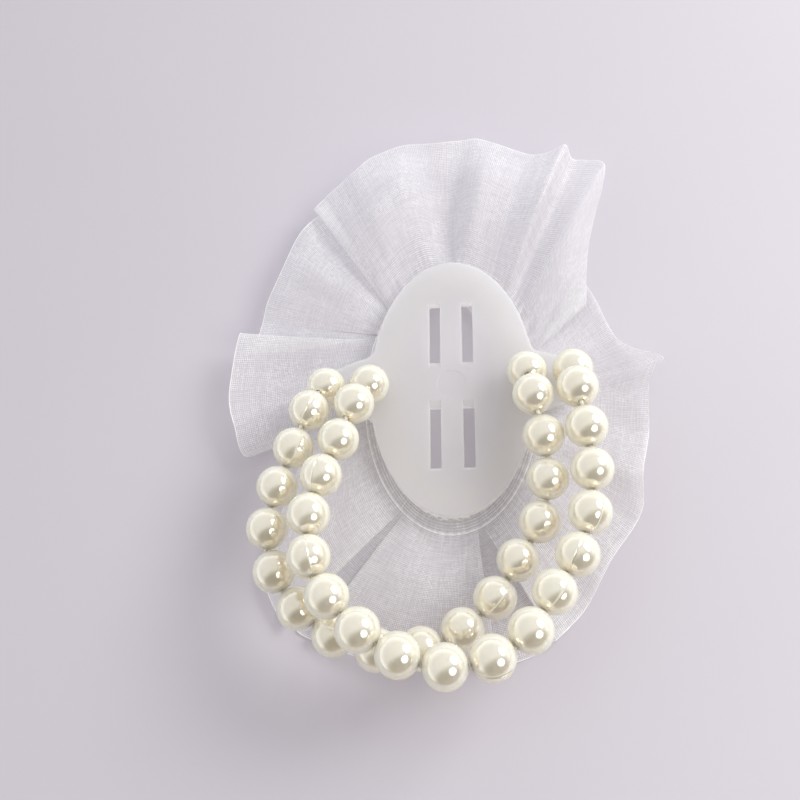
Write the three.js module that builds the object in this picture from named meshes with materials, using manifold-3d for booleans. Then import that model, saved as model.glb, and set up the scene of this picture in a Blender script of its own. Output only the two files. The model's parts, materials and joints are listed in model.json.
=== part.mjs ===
// Pearl wristlet corsage base: a moulded oval plate with two ears, a gathered organza ruffle
// glued under it, and one elastic cord that carries two crossing strands of pearls.
// Millimetres, +Z up. The flower face of the plate lies in z = 0 with its centre at the origin,
// the wrist face looks up and the long axis of the plate runs along Y.
import * as THREE from 'three';
import { mergeVertices } from 'three/addons/utils/BufferGeometryUtils.js';
import Module from 'manifold-3d';

const wasm = await Module();
wasm.setup();

// Plate
const PLATE_LENGTH = 55.5;
const PLATE_WIDTH = 34;
const PLATE_THICKNESS = 2;
const RIM_BEVEL = 0.35;
const SLOT_LENGTH = 13;
const SLOT_WIDTH = 2.4;
const SLOT_SPACING_X = 6.8;
const SLOT_SPACING_Y = 22.8;
const RAMP_LENGTH = 1.3;
const RAMP_DEPTH = 0.9;
const GATE_MARK_DIAMETER = 6;
const GATE_MARK_DEPTH = 0.2;
const CUT_OVERRUN = 0.5;

// Ears of the plate, which carry the elastic
const EAR_ROOT_HALF = 8.2;
const EAR_FILLET = 1.8;
const EAR_NECK_HALF = 6;
const EAR_NECK_OUT = 2.7;
const EAR_TAPER_RUN = 2.8;
const EAR_TAPER_HALF = 4.6;
const EAR_TIP_HALF = 4;
const EAR_REACH = 10.6;
const EAR_CENTRE_OUT = 3.25;
const CORD_SLOT_LENGTH = 4.4;
const CORD_SLOT_WIDTH = 1.8;
const CORD_SLOT_BACK = 0.7;

// Pearls and elastic
const PEARL_DIAMETER = 8;
const PEARL_BORE = 1.8;
const PEARL_GAP = 0.1;
const STRAND_GAP = 0.9;
const CORD_DIAMETER = 0.8;
const CORD_BEND = 0.9;
const CORD_LEAD = 0.15;
const KNOT_DIAMETER = 2.2;
const HINGE_SKEW_DEG = 1.6;
const CROSSING_SWING_DEG = 40;
const CROSSING_LATENESS = 1.9;
const CROSSING_LIFT = 5.4;

// Glue, ruffle and gathering thread
const SEAT_GAP = 0.25;
const GLUE_THICKNESS = 0.8;
const GLUE_INSET = 2.2;
const GLUE_WIDTH = 3;
const RUFFLE_THICKNESS = 0.8;
const RUFFLE_DROP = 4;
const STAND_CUT = 0.5;
const HEADER_WIDTH = 5;
const GATHER_INSET_X = 0.8;
const GATHER_OUTSET_Y = 0.2;
const GATHER_SHIFT_X = -1;
const GATHER_SHIFT_Y = -1.6;
const THREAD_DIAMETER = 0.6;
const THREAD_INSET = 1;

// Facet counts
const OUTLINE_STEPS = 10;
const RING_STEPS = 20;
const ROUND_END_STEPS = 6;
const CORD_SIDES = 8;
const PEARL_SEGMENTS = 12;
const PEARL_ARC_STEPS = 7;
const COLUMNS_PER_POINT = 2;
const RUFFLE_ROWS = [-1, 0, 0.2, 0.6, 1];
const STRAND_SAMPLES = 3000;
const CHORD_STEP = 0.004;

// Middle line of the pearl loop, from the left ear to the right ear, with heights above the
// wrist face. The loop rises from the ears and leans along -Y.
const LOOP_ROUTE = [
  [-21.5, -3.1, 7.8], [-25.0, -13.3, 10.0], [-28.7, -23.8, 11.6], [-29.9, -34.6, 12.8],
  [-24.6, -45.3, 13.4], [-13.7, -53.1, 13.4], [-1.7, -54.7, 12.6], [8.7, -49.6, 11.0],
  [14.9, -41.0, 9.4], [20.2, -32.4, 8.6], [22.3, -22.5, 9.0], [21.2, -9.9, 9.8], [19.6, -1.5, 8.8],
];

// Selvage of the ruffle, seen from the wrist side and taken once round from the right-hand notch:
// x, y, height of the edge, height of the cloth half way out, both above the surface that the
// corsage lies on, and the angle in degrees round the plate at which that part is gathered.
const SELVAGE = [
  [27.5, 14, 1.6, 0.8, 16], [34.9, 9.9, 0.8, 0.2, 9], [42.8, 5, 3.2, 0, 4], [41.1, 2.6, 4.2, 0, 1],
  [39.7, -2, 2.6, 0.4, -3], [39.3, -10.2, 1, 0.9, -8], [37.4, -18.6, 2, 1.8, -16],
  [36.5, -26.7, 0.8, 0.8, -24], [30, -36, 1.8, 1.8, -36], [25, -44.6, 0.9, 1.4, -50],
  [19, -50.6, 1.8, 2.8, -68], [14.5, -53.5, 0.3, 0, -71], [9.5, -55.2, 0.3, 0, -73],
  [6.5, -55.7, 2.4, 4.6, -75], [-3, -56.4, 3, 5.8, -90], [-10.8, -55.9, 3.2, 5.8, -101],
  [-18, -54.2, 3, 5.2, -111], [-27.5, -50.9, 2, 3.4, -121], [-30, -49.8, 0.3, 0, -122.5],
  [-32, -48.6, 0.3, 0, -123.5], [-34.2, -47.2, 2.2, 3.6, -125], [-37, -43, 2, 3.8, -131],
  [-38.9, -36.8, 2, 3.2, -141], [-37, -28.8, 1.6, 2.4, -151], [-34.2, -20.4, 1.2, 1.6, -160],
  [-33.2, -14.6, 1.6, 1.3, -168], [-43.4, -13.3, 3.6, 1.4, -177], [-45.7, -7.2, 5.4, 1.9, -185],
  [-46.8, -2, 6.6, 2.2, -192], [-46.2, 4.5, 7.6, 2.8, -199], [-44.6, 12.4, 8.2, 4.8, -206],
  [-41.1, 16.3, 5, 3.6, -210], [-36.1, 29.5, 6.8, 6.4, -217], [-33.9, 35.8, 6, 5.8, -220.5],
  [-31.2, 40, 5.6, 3.6, -223], [-28.4, 44, 6.6, 6, -226], [-24.3, 48, 7.2, 8.6, -234],
  [-20.7, 50.4, 8.2, 9.6, -241], [-17.5, 53.9, 7.6, 9.8, -249], [-13.2, 56.4, 6.8, 9.2, -258],
  [-8.6, 57.5, 6.4, 3.6, -265], [-3.6, 57.4, 6.6, 0, -267], [2, 57.5, 6.6, 0, -269],
  [6.4, 57.7, 6.6, 6.4, -272], [10, 56.6, 6.2, 8.4, -279], [14.4, 54.8, 5.8, 7, -288],
  [18.4, 53, 6, 6.4, -297], [22.2, 52.3, 7.4, 7.6, -305], [25.7, 52.4, 9.2, 8.8, -311],
  [27.6, 51, 6.4, 4.4, -314], [30, 50.4, 6.4, 4.4, -317.5], [33.7, 47.9, 8.2, 6.8, -322],
  [33.2, 43.2, 7, 6.8, -326], [31.4, 37.5, 5.6, 6, -330.5], [29.6, 30.5, 4.6, 4.8, -335],
  [28.6, 23, 3.4, 3, -339.5],
];

const WRIST_FACE = PLATE_THICKNESS;
const EAR_CENTRE = PLATE_WIDTH / 2 + EAR_CENTRE_OUT;
const STRAND_PITCH = PEARL_DIAMETER + STRAND_GAP;
const STAND_LEVEL = -RUFFLE_DROP;
const DEG = Math.PI / 180;

const toSolid = (geometry) => {
  const bare = geometry.clone();
  bare.deleteAttribute('normal');
  bare.deleteAttribute('uv');
  const welded = mergeVertices(bare, 1e-4);
  const vertProperties = new Float32Array(welded.attributes.position.array);
  const triVerts = new Uint32Array(welded.index.array);
  return new wasm.Manifold(new wasm.Mesh({ numProp: 3, vertProperties, triVerts }));
};

const fromSolid = (solid) => {
  const { vertProperties, triVerts } = solid.getMesh();
  const geometry = new THREE.BufferGeometry();
  geometry.setAttribute('position', new THREE.BufferAttribute(vertProperties, 3));
  geometry.setIndex(new THREE.BufferAttribute(triVerts, 1));
  geometry.computeVertexNormals();
  return geometry;
};

const corsage = new THREE.Group();

const addPiece = (name, geometry, color, roughness) => {
  const material = new THREE.MeshStandardMaterial({ color, roughness, metalness: 0 });
  const mesh = new THREE.Mesh(geometry, material);
  mesh.name = name;
  corsage.add(mesh);
  return mesh;
};

// Base plate: an oval with a tapered ear on each long side, moulded in one piece.
const plateOutline = () => {
  const a = PLATE_WIDTH / 2;
  const b = PLATE_LENGTH / 2;
  const edgeX = (y) => a * Math.sqrt(1 - (y / b) ** 2);
  const rootAngle = Math.asin(EAR_ROOT_HALF / b);
  const elbow = EAR_ROOT_HALF - EAR_FILLET;
  const neck = a + EAR_NECK_OUT;
  const tip = a + EAR_REACH;
  const shape = new THREE.Shape();
  shape.absellipse(0, 0, a, b, rootAngle, Math.PI - rootAngle, false);
  const addEar = (side) => {
    const x = (value) => side * value;
    const y = (value) => -side * value;
    shape.quadraticCurveTo(x(edgeX(elbow)), y(elbow), x(neck), y(EAR_NECK_HALF));
    shape.bezierCurveTo(
      x(neck + EAR_TAPER_RUN), y(EAR_TAPER_HALF), x(tip), y(EAR_TIP_HALF), x(tip), 0,
    );
    shape.bezierCurveTo(
      x(tip), y(-EAR_TIP_HALF), x(neck + EAR_TAPER_RUN), y(-EAR_TAPER_HALF), x(neck), y(-EAR_NECK_HALF),
    );
    shape.quadraticCurveTo(
      x(edgeX(elbow)), y(-elbow), x(edgeX(EAR_ROOT_HALF)), y(-EAR_ROOT_HALF),
    );
  };
  addEar(-1);
  shape.absellipse(0, 0, a, b, Math.PI + rootAngle, 2 * Math.PI - rootAngle, false);
  addEar(1);
  return shape;
};

const cordSlot = (x) => {
  const radius = CORD_SLOT_WIDTH / 2;
  const straight = CORD_SLOT_LENGTH / 2 - radius;
  const points = [];
  for (const end of [1, -1]) {
    for (let i = 0; i <= ROUND_END_STEPS; i += 1) {
      const angle = Math.PI * (i / ROUND_END_STEPS + (end < 0 ? 1 : 0));
      points.push(new THREE.Vector2(x + radius * Math.cos(angle), end * straight + radius * Math.sin(angle)));
    }
  }
  return new THREE.Path(points);
};

// Ramp at the inner end of a ribbon slot, where the ribbon dives through the plate.
const rampCutter = (x, innerEnd, towardCentre) => {
  const profile = new THREE.Shape([
    new THREE.Vector2(-CUT_OVERRUN, -RAMP_DEPTH),
    new THREE.Vector2(0, -RAMP_DEPTH),
    new THREE.Vector2(RAMP_LENGTH, 0),
    new THREE.Vector2(RAMP_LENGTH, CUT_OVERRUN),
    new THREE.Vector2(-CUT_OVERRUN, CUT_OVERRUN),
  ]);
  const cutter = new THREE.ExtrudeGeometry(profile, { depth: SLOT_WIDTH, bevelEnabled: false });
  cutter.translate(0, 0, -SLOT_WIDTH / 2);
  cutter.applyMatrix4(new THREE.Matrix4().makeBasis(
    new THREE.Vector3(0, towardCentre, 0),
    new THREE.Vector3(0, 0, 1),
    new THREE.Vector3(towardCentre, 0, 0),
  ));
  return cutter.translate(x, innerEnd, WRIST_FACE);
};

const makePlate = () => {
  const shape = plateOutline();
  const cutters = [];
  for (const i of [-1, 1]) {
    for (const j of [-1, 1]) {
      const x = i * SLOT_SPACING_X / 2;
      const y = j * SLOT_SPACING_Y / 2;
      const cutDepth = PLATE_THICKNESS + 2 * CUT_OVERRUN;
      const ribbonSlot = new THREE.BoxGeometry(SLOT_WIDTH, SLOT_LENGTH, cutDepth);
      cutters.push(ribbonSlot.translate(x, y, PLATE_THICKNESS / 2));
      cutters.push(rampCutter(x, y - j * SLOT_LENGTH / 2, -j));
      shape.holes.push(cordSlot(i * (EAR_CENTRE + j * STRAND_PITCH / 2)));
    }
  }
  const slab = new THREE.ExtrudeGeometry(shape, {
    depth: PLATE_THICKNESS - 2 * RIM_BEVEL,
    bevelThickness: RIM_BEVEL,
    bevelSize: RIM_BEVEL,
    bevelOffset: -RIM_BEVEL,
    bevelSegments: 1,
    curveSegments: OUTLINE_STEPS,
  });
  slab.translate(0, 0, RIM_BEVEL);
  const markRadius = GATE_MARK_DIAMETER / 2;
  const mark = new THREE.CylinderGeometry(markRadius, markRadius, 2 * GATE_MARK_DEPTH, 2 * RING_STEPS);
  mark.rotateX(Math.PI / 2);
  cutters.push(mark.translate(0, 0, WRIST_FACE));
  const plate = cutters.reduce((solid, cutter) => solid.subtract(toSolid(cutter)), toSolid(slab));
  return fromSolid(plate);
};

addPiece('base_plate', makePlate(), 0xd9d5d4, 0.45);

// A flat oval ring between two ellipses, extruded upwards from z.
const ovalRing = (centre, outerHalf, width, z, height) => {
  const shape = new THREE.Shape();
  shape.absellipse(centre.x, centre.y, outerHalf.x, outerHalf.y, 0, 2 * Math.PI, false);
  const hole = new THREE.Path();
  hole.absellipse(centre.x, centre.y, outerHalf.x - width, outerHalf.y - width, 0, 2 * Math.PI, true);
  shape.holes.push(hole);
  const ring = new THREE.ExtrudeGeometry(shape, {
    depth: height, bevelEnabled: false, curveSegments: RING_STEPS,
  });
  return ring.translate(0, 0, z);
};

// Hot-melt glue that holds the header of the ruffle under the rim of the plate.
const glueHalf = new THREE.Vector2(PLATE_WIDTH / 2 - GLUE_INSET, PLATE_LENGTH / 2 - GLUE_INSET);
const glueBottom = -SEAT_GAP - GLUE_THICKNESS;
const plateCentre = new THREE.Vector2(0, 0);
addPiece('glue_ring', ovalRing(plateCentre, glueHalf, GLUE_WIDTH, glueBottom, GLUE_THICKNESS), 0xf0ead8, 0.4);

// Ruffle: an organza ribbon gathered on one edge. The header runs flat under the glue, and the
// frill swells into pleats and hollows before it ends in its selvage. Hollows lie on the surface.
const gatherCentre = new THREE.Vector2(GATHER_SHIFT_X, GATHER_SHIFT_Y);
const gatherHalf = new THREE.Vector2(PLATE_WIDTH / 2 - GATHER_INSET_X, PLATE_LENGTH / 2 + GATHER_OUTSET_Y);
const headerLevel = glueBottom - SEAT_GAP - RUFFLE_THICKNESS / 2;
const floorLevel = STAND_LEVEL - STAND_CUT + RUFFLE_THICKNESS / 2;

// Each row of the ruffle lies a share of the way from the gathers to the selvage. Its height is on
// the parabola through the header, the half-way height and the edge.
const rufflePoint = ({ edge, middle, angle }, row) => {
  const header = row < 0 ? row * HEADER_WIDTH : 0;
  const gather = new THREE.Vector2(
    gatherCentre.x + (gatherHalf.x + header) * Math.cos(angle),
    gatherCentre.y + (gatherHalf.y + header) * Math.sin(angle),
  );
  if (row <= 0) {
    return new THREE.Vector3(gather.x, gather.y, headerLevel);
  }
  const place = gather.lerp(new THREE.Vector2(edge.x, edge.y), row);
  const height = headerLevel * (1 - row) * (1 - 2 * row)
    + (STAND_LEVEL + middle) * 4 * row * (1 - row)
    + (STAND_LEVEL + edge.z) * row * (2 * row - 1);
  return new THREE.Vector3(place.x, place.y, Math.max(height, floorLevel));
};

const makeRuffle = () => {
  const turnShare = 2 * Math.PI / SELVAGE.length;
  const edges = SELVAGE.map(([x, y, height]) => new THREE.Vector3(x, y, height));
  const swells = SELVAGE.map(([, , , middle, angle], i) => new THREE.Vector3(middle, angle * DEG + turnShare * i, 0));
  const edgeCurve = new THREE.CatmullRomCurve3(edges, true, 'catmullrom');
  const swellCurve = new THREE.CatmullRomCurve3(swells, true, 'catmullrom');
  const columns = SELVAGE.length * COLUMNS_PER_POINT;
  const rows = RUFFLE_ROWS.length;
  const positions = [];
  for (let i = 0; i < columns; i += 1) {
    const swell = swellCurve.getPoint(i / columns);
    const selvage = {
      edge: edgeCurve.getPoint(i / columns),
      middle: swell.x,
      angle: swell.y - 2 * Math.PI * i / columns,
    };
    for (const row of RUFFLE_ROWS) {
      const point = rufflePoint(selvage, row);
      positions.push(point.x, point.y, point.z + RUFFLE_THICKNESS / 2);
      positions.push(point.x, point.y, point.z - RUFFLE_THICKNESS / 2);
    }
  }
  const at = (column, row, under) => 2 * ((column % columns) * rows + row) + under;
  const triangles = [];
  const addQuad = (p, q, r, s) => triangles.push(p, q, r, p, r, s);
  for (let i = 0; i < columns; i += 1) {
    for (let j = 0; j + 1 < rows; j += 1) {
      addQuad(at(i, j, 0), at(i + 1, j, 0), at(i + 1, j + 1, 0), at(i, j + 1, 0));
      addQuad(at(i, j, 1), at(i, j + 1, 1), at(i + 1, j + 1, 1), at(i + 1, j, 1));
    }
    addQuad(at(i, 0, 0), at(i, 0, 1), at(i + 1, 0, 1), at(i + 1, 0, 0));
    addQuad(at(i, rows - 1, 0), at(i + 1, rows - 1, 0), at(i + 1, rows - 1, 1), at(i, rows - 1, 1));
  }
  const sheet = new THREE.BufferGeometry();
  sheet.setAttribute('position', new THREE.Float32BufferAttribute(positions, 3));
  sheet.setIndex(triangles);
  sheet.computeBoundingBox();
  const reach = sheet.boundingBox.getSize(new THREE.Vector3()).length();
  const below = new THREE.BoxGeometry(2 * reach, 2 * reach, RUFFLE_DROP);
  below.translate(0, 0, STAND_LEVEL - RUFFLE_DROP / 2);
  return fromSolid(toSolid(sheet).subtract(toSolid(below)));
};

addPiece('organza_ruffle', makeRuffle(), 0xf4f2f1, 0.55);

// Gathering thread: the running stitch that draws the ruffle up, on the flower side of its header.
const threadHalf = gatherHalf.clone().subScalar(THREAD_INSET);
const threadBottom = headerLevel - RUFFLE_THICKNESS / 2 - SEAT_GAP - THREAD_DIAMETER;
const threadRing = ovalRing(gatherCentre, threadHalf, THREAD_DIAMETER, threadBottom, THREAD_DIAMETER);
addPiece('gathering_thread', threadRing, 0xf7f6f2, 0.6);

// Elastic cord: one closed length. It is modelled as a tie under each ear, which stays with the
// plate, and two strands through the pearls, which swing with the loop.
const cordSection = () => {
  const points = [];
  for (let i = 0; i < CORD_SIDES; i += 1) {
    const angle = 2 * Math.PI * i / CORD_SIDES;
    points.push(new THREE.Vector2(Math.cos(angle), Math.sin(angle)).multiplyScalar(CORD_DIAMETER / 2));
  }
  return new THREE.Shape(points);
};

// A cord through given points: straight between them, with one section at each point.
class CordLine extends THREE.Curve {
  constructor(points) {
    super();
    this.points = points;
  }

  getPoint(t, target = new THREE.Vector3()) {
    const place = t * (this.points.length - 1);
    const i = Math.min(Math.floor(place), this.points.length - 2);
    return target.lerpVectors(this.points[i], this.points[i + 1], place - i);
  }

  getUtoTmapping(u) {
    return u;
  }
}

const cordAlong = (points) => {
  const settings = { extrudePath: new CordLine(points), steps: points.length - 1 };
  return new THREE.ExtrudeGeometry(cordSection(), settings);
};

const skew = HINGE_SKEW_DEG * DEG;
const strandStep = new THREE.Vector3(Math.cos(skew), Math.sin(skew), 0).multiplyScalar(STRAND_PITCH / 2);
const earPoint = (side) => new THREE.Vector3(side * EAR_CENTRE, side * EAR_CENTRE * Math.tan(skew), 0);
const slotBack = new THREE.Vector3(0, CORD_SLOT_BACK, 0);
const cordExit = WRIST_FACE + SEAT_GAP + CORD_DIAMETER / 4;

const makeTie = (side) => {
  const runLevel = -SEAT_GAP - CORD_DIAMETER / 2;
  const slots = [-1, 1].map((end) => earPoint(side).add(slotBack).addScaledVector(strandStep, end));
  const along = strandStep.clone().normalize().multiplyScalar(CORD_BEND);
  const path = new THREE.CurvePath();
  const [start, end] = slots;
  const top = (slot) => slot.clone().setZ(cordExit - SEAT_GAP);
  const corner = (slot) => slot.clone().setZ(runLevel);
  const above = (slot) => slot.clone().setZ(runLevel + CORD_BEND);
  const firstRun = corner(start).add(along);
  const lastRun = corner(end).sub(along);
  path.add(new THREE.LineCurve3(top(start), above(start)));
  path.add(new THREE.QuadraticBezierCurve3(above(start), corner(start), firstRun));
  path.add(new THREE.LineCurve3(firstRun, lastRun));
  path.add(new THREE.QuadraticBezierCurve3(lastRun, corner(end), above(end)));
  path.add(new THREE.LineCurve3(above(end), top(end)));
  return cordAlong(path.getSpacedPoints(Math.round(path.getLength() / CORD_DIAMETER)));
};

const makeKnot = (side) => {
  const knot = new THREE.SphereGeometry(KNOT_DIAMETER / 2, CORD_SIDES, CORD_SIDES);
  const centre = earPoint(side).add(slotBack);
  return knot.translate(centre.x, centre.y, -SEAT_GAP - KNOT_DIAMETER / 2);
};

addPiece('ear_tie_left', makeTie(-1), 0xe9e7e1, 0.3);
addPiece('ear_tie_right', fromSolid(toSolid(makeTie(1)).add(toSolid(makeKnot(1)))), 0xe9e7e1, 0.3);

// The strands run side by side, one strand pitch apart, and the first one passes over the second
// at the foot of the loop: the pair swings round and the crossing strand lifts.
const loopCurve = new THREE.CatmullRomCurve3([
  earPoint(-1).add(slotBack).setZ(cordExit),
  ...LOOP_ROUTE.map(([x, y, height]) => new THREE.Vector3(x, y, WRIST_FACE + height)),
  earPoint(1).add(slotBack).setZ(cordExit),
]);
loopCurve.arcLengthDivisions = 1000;

const strandPoint = (side, share) => {
  const swing = Math.sin(Math.PI * share ** CROSSING_LATENESS) ** 2;
  const turn = skew - CROSSING_SWING_DEG * DEG * swing;
  const offset = new THREE.Vector3(Math.cos(turn), Math.sin(turn), 0).multiplyScalar(STRAND_PITCH / 2);
  offset.z = CROSSING_LIFT * Math.sin(Math.PI * share) ** 2;
  return loopCurve.getPointAt(share).addScaledVector(offset, side);
};

// Centres of the pearls on a strand: one equal chord apart, and half a chord from either end.
const pearlCentres = (strand, chord) => {
  const centres = [];
  let from = strand[0];
  let wanted = chord / 2;
  let before = 0;
  for (let i = 1; i < strand.length; i += 1) {
    const distance = strand[i].distanceTo(from);
    if (distance >= wanted) {
      from = strand[i - 1].clone().lerp(strand[i], (wanted - before) / (distance - before));
      centres.push(from);
      wanted = chord;
    }
    before = strand[i].distanceTo(from);
  }
  if (from.distanceTo(strand.at(-1)) < chord / 2) {
    centres.pop();
  }
  return centres;
};

// As many pearls as the strand holds, spread evenly over its length.
const stringPearls = (strand) => {
  let chord = PEARL_DIAMETER + PEARL_GAP;
  const count = pearlCentres(strand, chord).length;
  while (pearlCentres(strand, chord + CHORD_STEP).length === count) {
    chord += CHORD_STEP;
  }
  return pearlCentres(strand, chord);
};

// The bore of each pearl points midway between the ways to its two neighbours.
const boreAxes = (strand, centres) => centres.map((centre, i) => {
  const before = i > 0 ? centres[i - 1] : strand[0];
  const after = i + 1 < centres.length ? centres[i + 1] : strand.at(-1);
  const arriving = centre.clone().sub(before).normalize();
  const leaving = after.clone().sub(centre).normalize();
  return arriving.add(leaving).normalize();
});

const pearlProfile = () => {
  const radius = PEARL_DIAMETER / 2;
  const mouth = Math.asin(PEARL_BORE / PEARL_DIAMETER);
  const points = [];
  for (let i = 0; i <= PEARL_ARC_STEPS; i += 1) {
    const angle = THREE.MathUtils.lerp(mouth, Math.PI - mouth, i / PEARL_ARC_STEPS);
    points.push(new THREE.Vector2(radius * Math.sin(angle), -radius * Math.cos(angle)));
  }
  points.push(points[0].clone());
  return points;
};

const pearl = new THREE.LatheGeometry(pearlProfile(), PEARL_SEGMENTS);
const boreUp = new THREE.Vector3(0, 1, 0);
const boreHalf = Math.sqrt(PEARL_DIAMETER ** 2 - PEARL_BORE ** 2) / 2;
const cordReach = boreHalf + CORD_LEAD;

for (const [letter, side] of [['a', 1], ['b', -1]]) {
  const strand = [];
  for (let i = 0; i <= STRAND_SAMPLES; i += 1) {
    strand.push(strandPoint(side, i / STRAND_SAMPLES));
  }
  const centres = stringPearls(strand);
  const axes = boreAxes(strand, centres);
  const cordPoints = [];
  centres.forEach((centre, i) => {
    const name = `pearl_${letter}_${String(i + 1).padStart(2, '0')}`;
    const mesh = addPiece(name, pearl.clone(), 0xefe9d6, 0.25);
    mesh.position.copy(centre);
    mesh.quaternion.setFromUnitVectors(boreUp, axes[i]);
    cordPoints.push(centre.clone().addScaledVector(axes[i], -cordReach));
    cordPoints.push(centre.clone().addScaledVector(axes[i], cordReach));
  });
  addPiece(`elastic_strand_${letter}`, cordAlong(cordPoints), 0xe9e7e1, 0.3);
}

export default corsage;
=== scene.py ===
import json
import math

import bpy
import numpy as np
from mathutils import Matrix, Vector, noise


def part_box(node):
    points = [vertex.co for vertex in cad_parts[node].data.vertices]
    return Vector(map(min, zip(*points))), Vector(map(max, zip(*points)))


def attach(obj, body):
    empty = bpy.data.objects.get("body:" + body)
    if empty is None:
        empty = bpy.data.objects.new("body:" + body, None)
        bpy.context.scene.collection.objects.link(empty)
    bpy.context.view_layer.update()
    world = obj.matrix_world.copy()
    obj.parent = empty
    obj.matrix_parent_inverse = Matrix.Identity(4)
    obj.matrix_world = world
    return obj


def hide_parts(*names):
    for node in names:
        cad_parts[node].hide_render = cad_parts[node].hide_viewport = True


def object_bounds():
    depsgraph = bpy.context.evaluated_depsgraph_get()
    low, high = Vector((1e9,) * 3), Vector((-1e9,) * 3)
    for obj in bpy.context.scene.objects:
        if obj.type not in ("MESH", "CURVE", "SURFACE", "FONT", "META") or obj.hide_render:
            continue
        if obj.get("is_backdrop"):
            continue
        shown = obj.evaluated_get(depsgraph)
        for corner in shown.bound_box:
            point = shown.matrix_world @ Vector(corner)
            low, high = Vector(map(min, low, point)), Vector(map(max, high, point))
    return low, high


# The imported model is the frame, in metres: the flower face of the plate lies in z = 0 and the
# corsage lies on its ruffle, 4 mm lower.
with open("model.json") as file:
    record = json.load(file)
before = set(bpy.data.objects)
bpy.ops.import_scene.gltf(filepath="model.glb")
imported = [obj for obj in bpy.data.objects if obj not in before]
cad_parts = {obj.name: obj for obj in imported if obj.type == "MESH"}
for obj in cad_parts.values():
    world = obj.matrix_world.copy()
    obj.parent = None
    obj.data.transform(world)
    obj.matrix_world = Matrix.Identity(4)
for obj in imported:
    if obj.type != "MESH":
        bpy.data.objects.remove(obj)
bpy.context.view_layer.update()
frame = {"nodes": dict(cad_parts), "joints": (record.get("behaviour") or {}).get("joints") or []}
nodes = frame["nodes"]
bpy.ops.object.select_all(action="DESELECT")
MM = 0.001
TABLE_LEVEL = -4 * MM

# Camera: it looks down on the wrist face from the hand side, about 70 degrees above the table,
# with a normal lens. Its turn in degrees and its place are measured from the middle of that face.
IMAGE_SIZE = 800
FOCAL_PIXELS = 902.2
SENSOR_WIDTH = 36
NEAREST_SEEN = 10 * MM
WRIST_FACE_MIDDLE = Vector((0, 0, 2 * MM))
CAMERA_TURN = (-18.69, -7.618, -0.2215)
CAMERA_PLACE = Vector((-10.54, -3.42, 184.95)) * MM
camera_axes = Matrix.Identity(3)
for angle, axis in zip(CAMERA_TURN, "XYZ"):
    camera_axes = camera_axes @ Matrix.Rotation(math.radians(angle), 3, axis)
camera_axes.transpose()
bpy.ops.object.camera_add()
camera = bpy.context.object
camera.name = "camera"
camera.data.sensor_width = SENSOR_WIDTH
camera.data.lens = SENSOR_WIDTH * FOCAL_PIXELS / IMAGE_SIZE
camera.data.clip_start = NEAREST_SEEN
camera_stand = camera_axes @ CAMERA_PLACE + WRIST_FACE_MIDDLE
camera.matrix_world = Matrix.Translation(camera_stand) @ camera_axes.to_4x4()
bpy.context.scene.camera = camera
toward_camera = camera_axes.col[2].copy()


# Base plate: one injection moulding in natural polypropylene with a spark-eroded, frosted face.
# The moulded solid stays as it is. Its sharp edges get the small radius that a mould leaves.
def linear(code):
    """An sRGB hex colour as linear red, green, blue and alpha."""
    values = [int(code[i:i + 2], 16) / 255 for i in (0, 2, 4)]
    return [*(v / 12.92 if v <= 0.04045 else ((v + 0.055) / 1.055) ** 2.4 for v in values), 1.0]


def add_node(material, kind, settings, inputs):
    """A node of that kind with its settings, and with values or links on its inputs."""
    made = material.node_tree.nodes.new(kind)
    for name, value in settings.items():
        setattr(made, name, value)
    for name, value in inputs.items():
        if isinstance(value, bpy.types.NodeSocket):
            material.node_tree.links.new(value, made.inputs[name])
        else:
            made.inputs[name].default_value = value
    return made


def new_material(name, sockets):
    """A material whose shader has these values set on its own sockets."""
    material = bpy.data.materials.new(name)
    material.use_nodes = True
    shader = material.node_tree.nodes["Principled BSDF"]
    for socket, value in sockets.items():
        shader.inputs[socket].default_value = value
    return material, shader


def link(material, output, node, socket):
    """A link from an output to that socket of a node."""
    material.node_tree.links.new(output, node.inputs[socket])


# Frosted polypropylene: milky, with soft flow marks from the gate and a fine, matt grit, which is
# drawn 0.5 mm coarse, because a real one of 0.05 mm is too fine to show. Light comes through it,
# and its broad faces are clearer than the walls of its edge and slots.
FLOW_MARK_WIDTH = 14 * MM
GRIT_WIDTH = 0.5 * MM
GRIT_DEPTH = 0.03 * MM
SMOOTHEST, ROUGHEST = 0.36, 0.5
PLATE_SCATTERS = 0.68
WALL_UPRIGHT, WALL_MILK = 0.4, 0.97
FACE_UPRIGHT, FACE_MILK = 0.9, 0.7
frosted, shader = new_material("frosted_polypropylene", {"IOR": 1.49})
place = add_node(frosted, "ShaderNodeTexCoord", {}, {}).outputs["Object"]
flow = add_node(frosted, "ShaderNodeTexNoise", {}, {
    "Vector": place, "Scale": 1 / FLOW_MARK_WIDTH, "Detail": 3, "Distortion": 1.5})
flow_colour = add_node(frosted, "ShaderNodeMix", {"data_type": "RGBA"}, {
    0: flow.outputs["Fac"], 6: linear("FEFEFE"), 7: linear("FCFBFA")})
grit = add_node(frosted, "ShaderNodeTexNoise", {}, {
    "Vector": place, "Scale": 1 / GRIT_WIDTH, "Detail": 2})
matt = add_node(frosted, "ShaderNodeMapRange", {}, {
    "Value": flow.outputs["Fac"], "To Min": SMOOTHEST, "To Max": ROUGHEST})
grit_bump = add_node(frosted, "ShaderNodeBump", {}, {
    "Strength": 0.25, "Distance": GRIT_DEPTH, "Height": grit.outputs["Fac"]})
milk = add_node(frosted, "ShaderNodeBsdfTranslucent", {}, {"Color": flow_colour.outputs[2]})
milky = add_node(frosted, "ShaderNodeMixShader", {}, {
    0: PLATE_SCATTERS, 1: shader.outputs[0], 2: milk.outputs[0]})
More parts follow.
